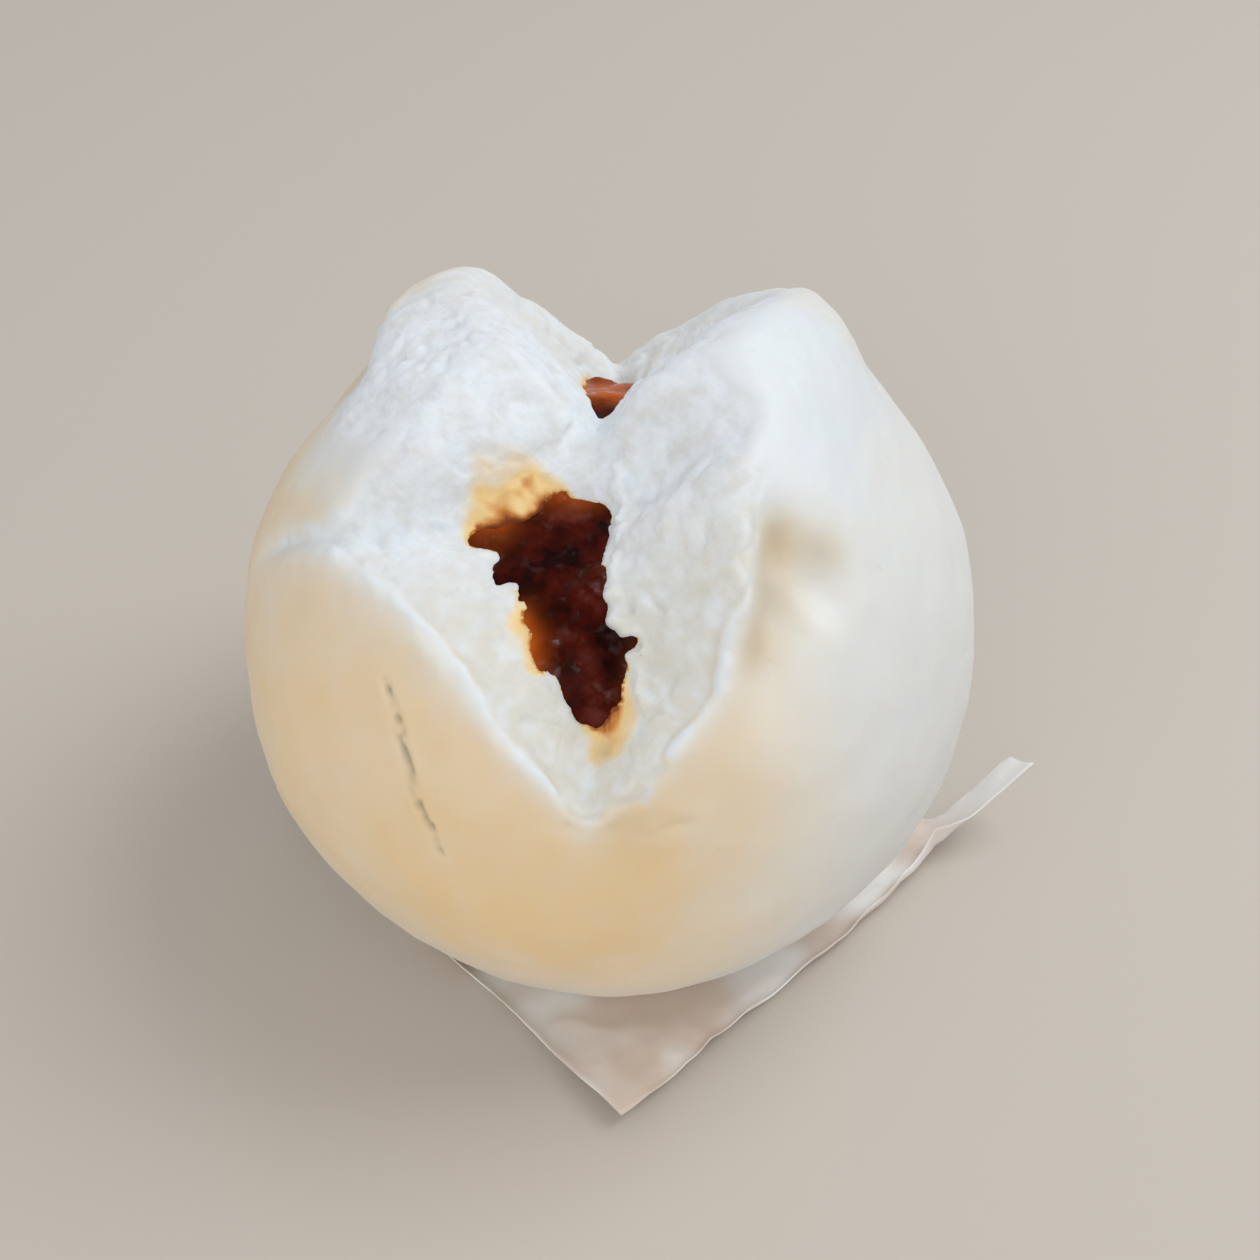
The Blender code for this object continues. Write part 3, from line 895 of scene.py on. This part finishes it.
def bun_points(directions):
    """Points of the bun's plain outside in mm: the skin, cut off by the tear and flat at the foot."""
    points = directions * skin_reach(directions)[:, None] + BALL_CENTRE
    tear = torn_top(points[:, 0], points[:, 1])
    points[:, 2] = lower_of(points[:, 2], tear, read_curve(points[:, 1], RIM_ROUNDING))
    points[:, 2] = np.maximum(points[:, 2], BALL_FOOT)
    return points


def depth_below_skin(points):
    """How far each point is below the untorn skin: near 0 on the skin, more on the torn faces."""
    from_middle = points - BALL_CENTRE
    distance = np.linalg.norm(from_middle, axis=1)
    return skin_reach(from_middle / distance[:, None]) - distance


def mouth_crumbs(rng):
    """Crumbs in a row along the right edge of the mouth."""
    y = np.linspace(*CRUMB_ROW, CRUMBS) + rng.uniform(-CRUMB_STRAY, CRUMB_STRAY, size=CRUMBS)
    x = read_curve(y, SPLIT_LINE) + rng.uniform(*CRUMB_OFFSET, size=CRUMBS)
    places = np.column_stack((x, y, torn_top(x, y)))
    sizes = rng.uniform(*CRUMB_SIZE, size=(CRUMBS, 1)) * rng.uniform(*CRUMB_STRETCH, size=(CRUMBS, 3))
    shape, faces = unit_ball(2)
    return scatter(shape, faces, places, sizes, random_turns(rng, CRUMBS))


def cottony(points):
    """Relief of torn crumb in mm: soft swellings, small domes with creases between, pits and fuzz."""
    relief = np.empty(len(points))
    for number, point in enumerate(points):
        place = Vector(point)
        push = Vector([noise.noise((place + shift) / BEND_LENGTH) for shift in BEND_SHIFTS])
        bent = place + BEND_REACH * push
        swelling = noise.noise(place / SWELLINGS[0])
        coarse = DOME_MIDDLES[0] - noise.voronoi(bent / COARSE_DOMES[0])[0][0]
        fine = DOME_MIDDLES[1] - noise.voronoi(bent / FINE_DOMES[0])[0][0]
        fuzz = noise.fractal(place / FUZZ[0], NOISE_FADE, 2.0, 3)
        pit = max(noise.noise(bent / PITS[0]) - PITS[1], 0.0)
        domes = COARSE_DOMES[1] * coarse + FINE_DOMES[1] * fine
        relief[number] = SWELLINGS[1] * swelling + domes + FUZZ[1] * fuzz - PITS[2] * pit
    return relief


def pulled(points):
    """Relief of the strands that the crumb was pulled into, in mm."""
    return STRAND_HEIGHT * read_noise(points * STRAND_STRETCH, STRAND_LENGTH, shift=40.0)


def distance_to_line(points, line):
    """Distance from each point to a line of straight pieces."""
    nearest = np.full(len(points), np.inf)
    for start, end in zip(line, line[1:]):
        along = end - start
        share = np.clip((points - start) @ along / (along @ along), 0.0, 1.0)
        nearest = np.minimum(nearest, np.linalg.norm(points - start - share[:, None] * along, axis=1))
    return nearest


def skin_relief(points, depth):
    """Relief of the skin in mm: slow waves, fine wrinkles, pores, creases, and a lip along the tear."""
    relief = WAVES[1] * read_noise(points, WAVES[0], 2)
    near_top = smooth_step(*TOP_HEIGHTS, points[:, 2])
    relief += TOP_RIPPLE[1] * near_top * read_noise(points, TOP_RIPPLE[0], 2, shift=50.0)
    relief += WRINKLES[1] * np.abs(read_noise(points * WRINKLE_STRETCH, WRINKLES[0], 2, shift=9.0))
    relief -= PORES[1] * np.maximum(read_noise(points, PORES[0], shift=25.0) - PORE_RARITY, 0.0)
    for away, width, crease_depth, _, broken in crease_places(points):
        relief -= crease_depth * broken * np.exp(-((away / width) ** 2))
        bank = (away - CREASE_BANK_AWAY * width) / width
        relief += CREASE_BANK * crease_depth * np.exp(-(bank**2))
    below_tear = np.maximum(torn_top(points[:, 0], points[:, 1]) - points[:, 2], 0.0)
    uneven = patches(points, *LIP_PATCHES, shift=12.0)
    beside_tear = ((depth - LIP_PLACE[0]) / LIP_PLACE[1]) ** 2
    lip = np.exp(-beside_tear - (below_tear / LIP_REACH) ** 2)
    return relief + LIP_HEIGHT * uneven * lip * lip_strength(points)


def lip_strength(points):
    """How crisp the tear's edge is: 1 in front, and little elsewhere."""
    start = np.where(points[:, 0] > 0.0, *LIP_STARTS)
    in_front = smooth_step(0.0, LIP_FADE, start - points[:, 1])
    return LIP_ELSEWHERE + (1.0 - LIP_ELSEWHERE) * in_front


def crease_places(points):
    """For each crease: distances to it, its half width, depth and painted shade, and how it breaks up."""
    on_ball = flattened(points)
    wander = CREASE_WANDER * np.column_stack(
        [read_noise(on_ball, CREASE_WANDER_LENGTH, 2, shift) for shift in CREASE_WANDER_SHIFTS]
    )
    for line, width, depth, painted_shade_amount in CREASES:
        broken = patches(on_ball, CREASE_BREAKS_APART * width, *CREASE_BREAKS, shift=80.0)
        away = distance_to_line(on_ball + wander, flattened(np.array(line)))
        yield away, width, depth, painted_shade_amount, broken


def flattened(points):
    """The points moved straight in or out to the plain ball."""
    from_middle = points - BALL_CENTRE
    return from_middle * (BALL_RADIUS / np.linalg.norm(from_middle, axis=1))[:, None]


def painted_crease_shade(points):
    """How much shade is painted in the creases."""
    shade = np.zeros(len(points))
    for away, width, _, painted_shade_amount, broken in crease_places(points):
        shade += painted_shade_amount * broken * np.exp(-((away / width) ** 2))
    return np.clip(shade, 0.0, 1.0)


def tear_depth(points):
    """Depth below the skin, with the tear's edge made to wander, and more where the skin came away."""
    wander = TEAR_WANDER * read_noise(points, TEAR_WANDER_LENGTH, 2, shift=5.0)
    depth = depth_below_skin(points) + wander
    for middle, radius, extra in BARE_PATCHES:
        away = np.linalg.norm(points - np.array(middle), axis=1) / radius
        depth += extra * np.exp(-(away**4))
    return depth


def keep_detail(piece, detailed):
    """Thins out the faces, mostly where little is going on."""
    group = piece.vertex_groups.new(name="plain")
    weights = np.round(1.0 - detailed, 1)
    for weight in np.unique(weights):
        if weight > 0.0:
            group.add(np.flatnonzero(weights == weight).tolist(), float(weight), "REPLACE")
    thin = piece.modifiers.new("fewer faces on plain skin", "DECIMATE")
    thin.ratio = DOUGH_SHARE
    thin.vertex_group = "plain"
    thin.vertex_group_factor = PLAIN_THINNING
    settle(piece)


def make_dough():
    """The plain bun and the crumbs, welded, given their relief, and thinned out where it is plain."""
    rng = np.random.default_rng(CRUMB_SEED)
    directions, faces = unit_ball(BALL_DETAIL)
    parts = ((bun_points(directions), faces), mouth_crumbs(rng))
    dough = mesh_of("steamed_dough", parts)
    weld(dough, DOUGH_VOXEL, DOUGH_SMOOTHING)
    points = mesh_points(dough.data)
    depth = tear_depth(points)
    high = smooth_step(*TORN_HEIGHTS, points[:, 2])
    torn = smooth_step(*TORN_RELIEF, depth) * high
    groove = np.exp(-(((depth - GROOVE_PLACE[0]) / GROOVE_PLACE[1]) ** 2))
    shift = -GROOVE_DEPTH * lip_strength(points) * groove * high
    rough = np.flatnonzero(torn > NEGLIGIBLE)
    calm = CALM_SHARE * smooth_step(*CALM_ACROSS, points[rough, 0])
    calm *= smooth_step(*CALM_ALONG, points[rough, 1])
    inside = ROUGH_AT_EDGE + (1.0 - ROUGH_AT_EDGE) * smooth_step(*ROUGH_DEPTHS, depth[rough])
    roughness = torn[rough] * (1.0 - calm) * inside
    shift[rough] += roughness * (cottony(points[rough]) + pulled(points[rough]))
    skin = np.flatnonzero(torn < 1.0 - NEGLIGIBLE)
    shift[skin] += (1.0 - torn[skin]) * skin_relief(points[skin], depth[skin])
    points += point_normals(dough.data) * shift[:, None]
    points[:, 2] = np.maximum(points[:, 2], BALL_FOOT - FOOT_SLACK)
    # Rounded, so that every run thins it out in the same way
    points = np.round(points, 4)
    move_points(dough.data, points)
    least_painted_shade, detail = CREASE_DETAIL
    keep_detail(dough, np.maximum(torn, detail * (painted_crease_shade(points) > least_painted_shade)))
    return dough


def distance_to_sauce(points):
    """Distance from each point to the filling's nearest point, in mm."""
    sauce = kdtree.KDTree(len(filling.data.vertices))
    for vertex in filling.data.vertices:
        sauce.insert(vertex.co, vertex.index)
    sauce.balance()
    return np.array([sauce.find(Vector(point) * MM)[2] / MM for point in points])


def soaked(points):
    """How far sauce has soaked into the crumb, from 0 to 1."""
    reach = np.full(len(points), SOAKED_EVERYWHERE)
    for *place, across, along, extra in SOAKED_SPOTS:
        reach += extra * np.exp(-distance_in_plan(points, place, across, along))
    wander = SOAKED_WANDER[1] * read_noise(points, SOAKED_WANDER[0], 2)
    away = distance_to_sauce(points) * (1.0 + wander)
    fringe = np.exp(-((away / (FRINGE_LEAST + FRINGE_GROWTH * reach**2)) ** 2))
    blotchy = SOAKED_DEPTH + SOAKED_BLOTCHES[1] * read_noise(points, SOAKED_BLOTCHES[0], 2, shift=70.0)
    return blotchy * np.exp(-((away / reach) ** 2)) + FRINGE_DEPTH * fringe


def dough_masks(dough):
    """Stores where the dough is torn, soaked by sauce, tanned (partly painted bounce light) and darkened by
    painted shade, for its material.
    """
    points = mesh_points(dough.data)
    x, y, z = points.T
    torn = smooth_step(*TORN_COLOUR, tear_depth(points)) * smooth_step(*TORN_HEIGHTS, z)
    write_mask(dough.data, "torn", torn)
    near = np.flatnonzero((torn > SOAKED_LEAST_TORN) & (z > TORN_HEIGHTS[1]))
    stain = np.zeros(len(points))
    stain[near] = soaked(points[near])
    write_mask(dough.data, "stain", stain)
    # Tan, partly painted warm bounce light
    tan = skin_tan_and_bounce_light(points)
    shade = painted_crease_shade(points)
    # The spots add beige, and painted shade in the dents and below the mouth's V
    for middle, radius, spot_tan, spot_painted_shade in BEIGE_AND_SHADE_SPOTS:
        spot = np.exp(-((np.linalg.norm(points - np.array(middle), axis=1) / radius) ** 2))
        tan += spot_tan * spot
        shade += spot_painted_shade * spot
    along = y + CREAMY_WANDER[1] * read_noise(points, CREAMY_WANDER[0], 2)
    creamy = smooth_step(*CREAMY_FRONT, along) + CREAMY_BACK_SHARE * smooth_step(*CREAMY_BACK, along)
    creamy *= patches(points, *CREAMY_MOTTLES, shift=18.0)
    write_mask(dough.data, "tan", np.clip((1.0 - torn) * tan + torn * creamy, 0.0, 1.0))
    write_mask(dough.data, "shade", shade)


def skin_tan_and_bounce_light(points):
    """How tan the skin is, from 0 to 1: partly its own tan, partly painted warm bounce light."""
    x, y, z = points.T
    top = torn_top(x, y)
    below_tear = np.maximum(top - z, 0.0)
    lower = smooth_step(*PALE_HEIGHTS, z + PALE_WANDER[1] * read_noise(points, PALE_WANDER[0], 2, shift=35.0))
    below_tear *= 1.0 + (lower - 1.0) * smooth_step(*PALE_TOPS, top) * smooth_step(*PALE_FRONT, y)
    low = 1.0
    for share, length in TAN_RISES:
        low = low - share * np.exp(-below_tear / length)
    side = smooth_step(*TAN_SIDES, x + TAN_WANDER[1] * read_noise(points, TAN_WANDER[0]))
    left = TAN_RIGHT + (1.0 - TAN_RIGHT) * side
    far_left = TAN_FAR_LEFT_LOSS * smooth_step(*TAN_FAR_LEFT, x)
    left *= 1.0 - TAN_BACK_LOSS * smooth_step(*TAN_BACK, y) - far_left
    mottled = 1.0 + TAN_MOTTLES[1] * read_noise(points, TAN_MOTTLES[0], 3, shift=60.0)
    return low * left * mottled * (TAN_FOOT + (1.0 - TAN_FOOT) * smooth_step(*TAN_FOOT_HEIGHTS, z))


def dough_finish():
    """Satin skin from white to tan, partly painted light, and matt crumb with sauce soaked into it, darkened
    by painted shade, from the masks.
    """
    made, shader = new_material("steamed dough")
    links = made.node_tree.links
    torn = add_node(made, "ShaderNodeAttribute", attribute_name="torn")
    stain = add_node(made, "ShaderNodeAttribute", attribute_name="stain")
    tan = add_node(made, "ShaderNodeAttribute", attribute_name="tan")
    shade = add_node(made, "ShaderNodeAttribute", attribute_name="shade")
    # From faintly blue white, which is painted cool light, to tan, which is partly painted warm bounce light
    tanned = ramp_node(made, tan.outputs["Fac"], ((0.0, SKIN_WHITE), (0.35, SKIN_CREAM), (1.0, SKIN_TAN_AND_BOUNCE)))
    patches = noise_node(made, CRUMB_PATCH_LENGTH, 3.0, 0.6)
    crumb = ramp_node(made, patches.outputs["Fac"], ((0.32, CRUMB_GREY), (0.58, CRUMB_WHITE)))
    creamy = mix_colours(made, tan.outputs["Fac"], crumb.outputs["Color"], CRUMB_CREAM)
    both = mix_colours(made, torn.outputs["Fac"], tanned.outputs["Color"], creamy)
    sauce = ramp_node(
        made,
        stain.outputs["Fac"],
        (
            (0.0, STAIN_PALE),
            (0.43, STAIN_YELLOW),
            (0.60, STAIN_ORANGE),
            (0.80, STAIN_BROWN),
            (1.0, STAIN_DARK),
        ),
    )
    amount = ramp_node(made, stain.outputs["Fac"], ((0.02, BLACK), (0.35, WHITE)))
    stained = mix_colours(made, amount.outputs["Color"], both, sauce.outputs["Color"])
    # Painted shade in the creases and dents goes on last
    final = mix_colours(made, shade.outputs["Fac"], stained, PAINTED_SHADE_COLOUR)
    links.new(final, shader.inputs["Base Color"])
    links.new(range_node(made, torn.outputs["Fac"], DOUGH_ROUGHNESS), shader.inputs["Roughness"])
    fine = noise_node(made, FINE_FUZZ_LENGTH, 4.0, 0.65)
    fuzz = add_node(made, "ShaderNodeBump", Distance=FINE_FUZZ_HEIGHT * MM)
    links.new(range_node(made, torn.outputs["Fac"], FINE_FUZZ_STRENGTH), fuzz.inputs["Strength"])
    links.new(fine.outputs["Fac"], fuzz.inputs["Height"])
    links.new(fuzz.outputs["Normal"], shader.inputs["Normal"])
    shader.inputs["Subsurface Weight"].default_value = GLOW_WEIGHT
    shader.inputs["Subsurface Radius"].default_value = GLOW_COLOURS
    shader.inputs["Subsurface Scale"].default_value = GLOW_DEPTH * MM
    shader.inputs["Specular IOR Level"].default_value = DOUGH_SPECULAR
    return made


dough = make_dough()
dough_masks(dough)
dough.data.materials.append(dough_finish())
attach(dough, "root")
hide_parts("dough")


# ---- Floor, light and camera -------------------------------------------------------------------------
# A plain pale surface under a large soft light overhead, with weaker light from the front.

FLOOR_SIZE = 16.0
FLOOR_COLOUR = (0.60, 0.54, 0.47)
FLOOR_ROUGHNESS = 0.7
# The softboxes: name, place, size, power, colour
LIGHTS = (
    ("overhead", (0.34, 0.12, 0.56), 0.4, 1.85, (0.97, 0.99, 1.0)),
    ("front", (-0.24, -0.62, 0.28), 0.6, 1.6, (1.0, 0.98, 0.94)),
)
ROOM_COLOUR = (0.93, 0.95, 1.0)
ROOM_STRENGTH = 0.56
VIEW_TARGET = Vector((0.002, 0.0, 0.029))
VIEW_FROM = Vector((-0.0021, -0.1534, 0.1630))
VIEW_ROLL = 2.9
VIEW_LENS = 56.0
VIEW_NEAREST = 0.01


def make_floor():
    """One large flat square."""
    bm = bmesh.new()
    bmesh.ops.create_grid(bm, x_segments=1, y_segments=1, size=FLOOR_SIZE / 2.0)
    floor = add_piece("floor", bm)
    made, shader = new_material("pale floor")
    shader.inputs["Base Color"].default_value = rgba(FLOOR_COLOUR)
    shader.inputs["Roughness"].default_value = FLOOR_ROUGHNESS
    floor.data.materials.append(made)
    return floor


def add_light(name, place, size, power, colour):
    """A square softbox that faces the bun."""
    data = bpy.data.lights.new(name, "AREA")
    data.shape = "SQUARE"
    data.size = size
    data.energy = power
    data.color = colour
    lamp = bpy.data.objects.new(name, data)
    lamp.location = place
    facing = VIEW_TARGET - Vector(place)
    lamp.rotation_euler = facing.to_track_quat("-Z", "Y").to_euler()
    bpy.context.scene.collection.objects.link(lamp)


def add_room_light():
    """Even, faintly blue light from all round."""
    world = bpy.data.worlds.new("room")
    world.use_nodes = True
    background = world.node_tree.nodes["Background"]
    background.inputs["Color"].default_value = rgba(ROOM_COLOUR)
    background.inputs["Strength"].default_value = ROOM_STRENGTH
    bpy.context.scene.world = world


def add_camera():
    """A camera above and in front, which looks down at the torn top."""
    data = bpy.data.cameras.new("view")
    data.lens = VIEW_LENS
    data.clip_start = VIEW_NEAREST
    camera = bpy.data.objects.new("view", data)
    facing = (VIEW_TARGET - VIEW_FROM).normalized()
    level = facing.to_track_quat("-Z", "Y").to_matrix().to_4x4()
    roll = Matrix.Rotation(math.radians(VIEW_ROLL), 4, "Z")
    camera.matrix_world = Matrix.Translation(VIEW_FROM) @ level @ roll
    bpy.context.scene.collection.objects.link(camera)
    bpy.context.scene.camera = camera


make_floor()
for light in LIGHTS:
    add_light(*light)
add_room_light()
add_camera()
bpy.context.scene.view_settings.view_transform = "Standard"
